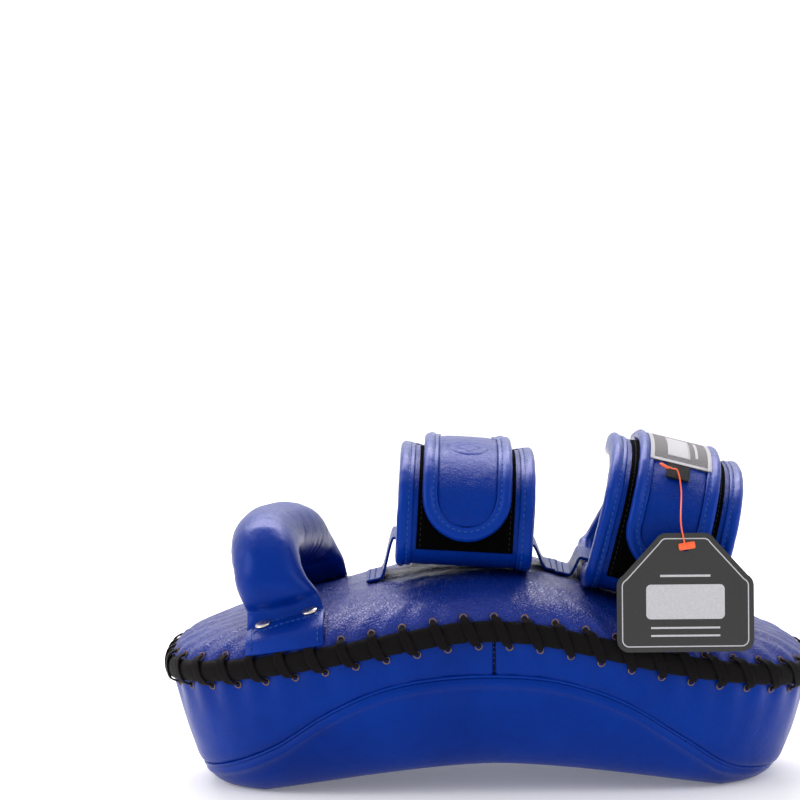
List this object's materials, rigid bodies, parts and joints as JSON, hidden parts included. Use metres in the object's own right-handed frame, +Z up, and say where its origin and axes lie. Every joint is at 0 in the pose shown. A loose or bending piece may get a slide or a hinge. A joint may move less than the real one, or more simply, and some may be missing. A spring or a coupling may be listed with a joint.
{
  "type": "thai pad",
  "caption": "Curved blue leather thai pad with a laced black edge, a padded grab handle and two padded forearm cuffs with ring-fed hook-and-loop flaps.",
  "frame": {"origin": "on the floor plane under the strike face, at the centre of the pad's outer box in plan", "axes": "+X along the pad from the handle end to the foot end, +Y across it to the side where the cuffs' rings and flap folds are, +Z up from the strike face to the cuffs"},
  "size_m": [0.4338, 0.2077, 0.2269],
  "materials": {
    "blue_leather": "satin",
    "lining_leather": "matte",
    "soft_foam": "matte",
    "firm_foam": "matte",
    "black_webbing": "matte",
    "hook_and_loop": "matte",
    "nickel_steel": "satin",
    "woven_label": "matte",
    "black_tape": "matte",
    "orange_plastic": "satin",
    "tag_card": "gloss"
  },
  "bodies": {
    "pad": {"back_panel": "blue_leather", "gusset_handle_end": "blue_leather", "gusset_foot_end": "blue_leather", "strike_panel": "blue_leather", "seam_welt": "blue_leather", "foam_strike_soft": "soft_foam", "foam_core_firm": "firm_foam", "foam_back_soft": "soft_foam", "edge_binding": "black_webbing", "edge_lace": "black_webbing", "handle_tab_near": "blue_leather", "handle_tab_far": "blue_leather", "handle_patch_near": "blue_leather", "handle_patch_far": "blue_leather", "rivet_near_1": "nickel_steel", "rivet_near_2": "nickel_steel", "rivet_far_1": "nickel_steel", "rivet_far_2": "nickel_steel", "burr_near_1": "nickel_steel", "burr_near_2": "nickel_steel", "burr_far_1": "nickel_steel", "burr_far_2": "nickel_steel", "cuff_1_anchor": "blue_leather", "cuff_1_cover": "blue_leather", "cuff_1_foam": "soft_foam", "cuff_1_lining": "lining_leather", "cuff_1_binding_a": "blue_leather", "cuff_1_binding_b": "blue_leather", "cuff_1_loop_patch": "hook_and_loop", "cuff_1_keeper": "blue_leather", "cuff_1_strap": "blue_leather", "cuff_2_anchor": "blue_leather", "cuff_2_cover": "blue_leather", "cuff_2_foam": "soft_foam", "cuff_2_lining": "lining_leather", "cuff_2_binding_a": "blue_leather", "cuff_2_binding_b": "blue_leather", "cuff_2_loop_patch": "hook_and_loop", "cuff_2_keeper": "blue_leather", "cuff_2_strap": "blue_leather"},
    "handle": {"handle_cover": "blue_leather", "handle_core": "soft_foam"},
    "ring_1": {"cuff_1_ring": "nickel_steel"},
    "ring_2": {"cuff_2_ring": "nickel_steel"},
    "flap_1": {"flap_1_cover": "blue_leather", "flap_1_hook_patch": "hook_and_loop", "flap_1_binding": "blue_leather"},
    "flap_2": {"flap_2_cover": "blue_leather", "flap_2_hook_patch": "hook_and_loop", "flap_2_binding": "blue_leather", "woven_label": "woven_label", "size_tab": "black_tape", "tag_pin": "orange_plastic"},
    "tag": {"hang_tag": "tag_card"}
  },
  "joints": [
    {"name": "handle_lean", "type": "hinge", "parent": "pad", "child": "handle", "pos_m": [-0.13025, 0, 0.14299], "axis": [0.1432, 0.9897, 0], "range_deg": [-8, 8]},
    {"name": "ring_1_swing", "type": "hinge", "parent": "pad", "child": "ring_1", "pos_m": [-0.0156, 0.07147, 0.20007], "axis": [0.9981, 0, -0.061], "range_deg": [-5, 5]},
    {"name": "ring_2_swing", "type": "hinge", "parent": "pad", "child": "ring_2", "pos_m": [0.12058, 0.07183, 0.1952], "axis": [0.9701, -0.0169, -0.2419], "range_deg": [-5, 5]},
    {"name": "flap_1_peel", "type": "hinge", "parent": "pad", "child": "flap_1", "pos_m": [-0.01541, 0.09019, 0.2033], "axis": [-0.9981, 0, 0.061], "range_deg": [0, 140]},
    {"name": "flap_2_peel", "type": "hinge", "parent": "pad", "child": "flap_2", "pos_m": [0.12169, 0.09054, 0.19834], "axis": [-0.9701, 0.0169, 0.2419], "range_deg": [0, 140]},
    {"name": "tag_swing", "type": "hinge", "parent": "flap_2", "child": "tag", "pos_m": [0.1215, -0.09239, 0.16611], "axis": [-1, 0, 0], "range_deg": [0, 50]}
  ]
}
